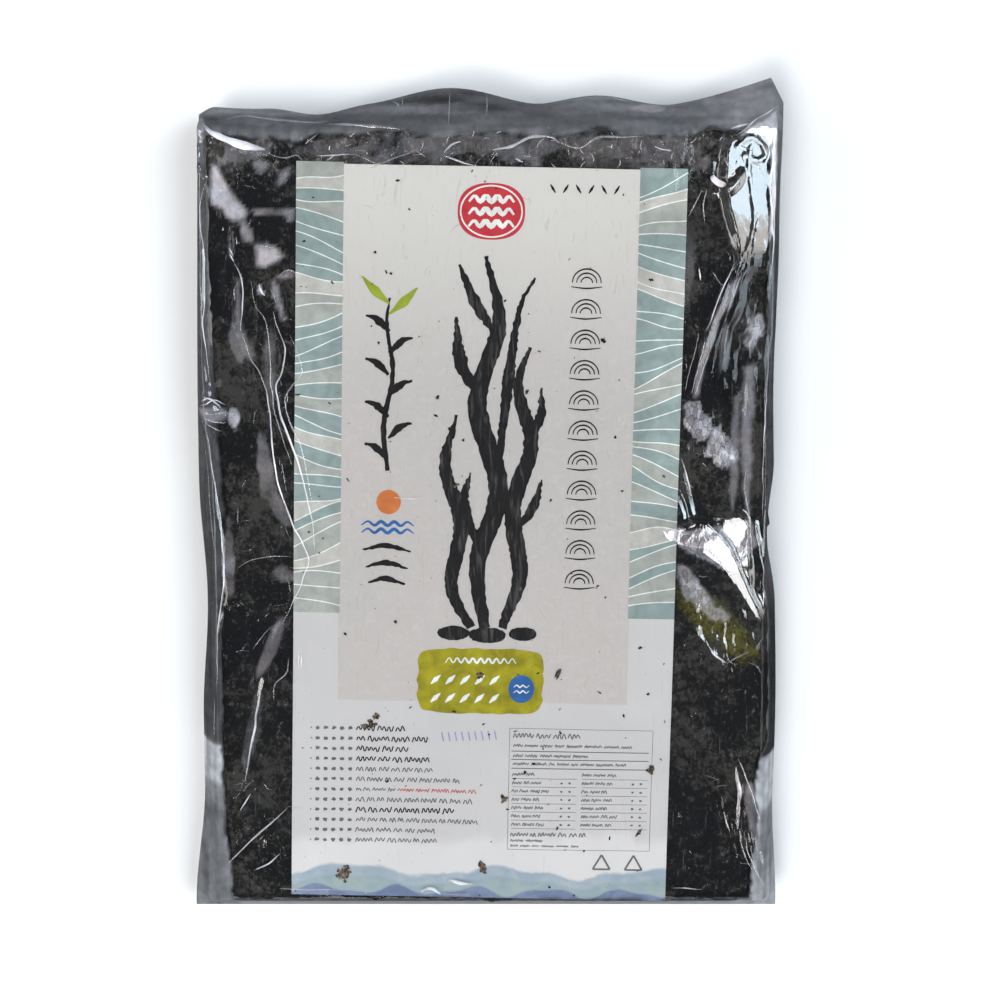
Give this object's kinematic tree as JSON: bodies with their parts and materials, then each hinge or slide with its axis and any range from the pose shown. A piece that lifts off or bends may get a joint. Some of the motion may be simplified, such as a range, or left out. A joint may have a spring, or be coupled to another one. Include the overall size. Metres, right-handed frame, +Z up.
{
  "type": "packet of nori sheets",
  "caption": "Flat clear film packet that holds a thick stack of dried laver (nori) sheets under a printed paper insert, lying on its back.",
  "frame": {"origin": "under the middle of the packet, on the plane that it rests on", "axes": "+X across the packet to the shown right, +Y from the sealed end to the flap, +Z up out of the shown face"},
  "size_m": [0.214, 0.297, 0.0276],
  "materials": {
    "clear_film": "thin clear glossy film, crinkled, slightly smoky where it is doubled",
    "laver": "dried laver, black-green with olive and brown flecks, rough, faintly glossy",
    "insert_paper": "smooth white paper with printed fields of teal, beige, olive and blue"
  },
  "bodies": {
    "root": {"pack": "clear_film"}
  },
  "joints": []
}
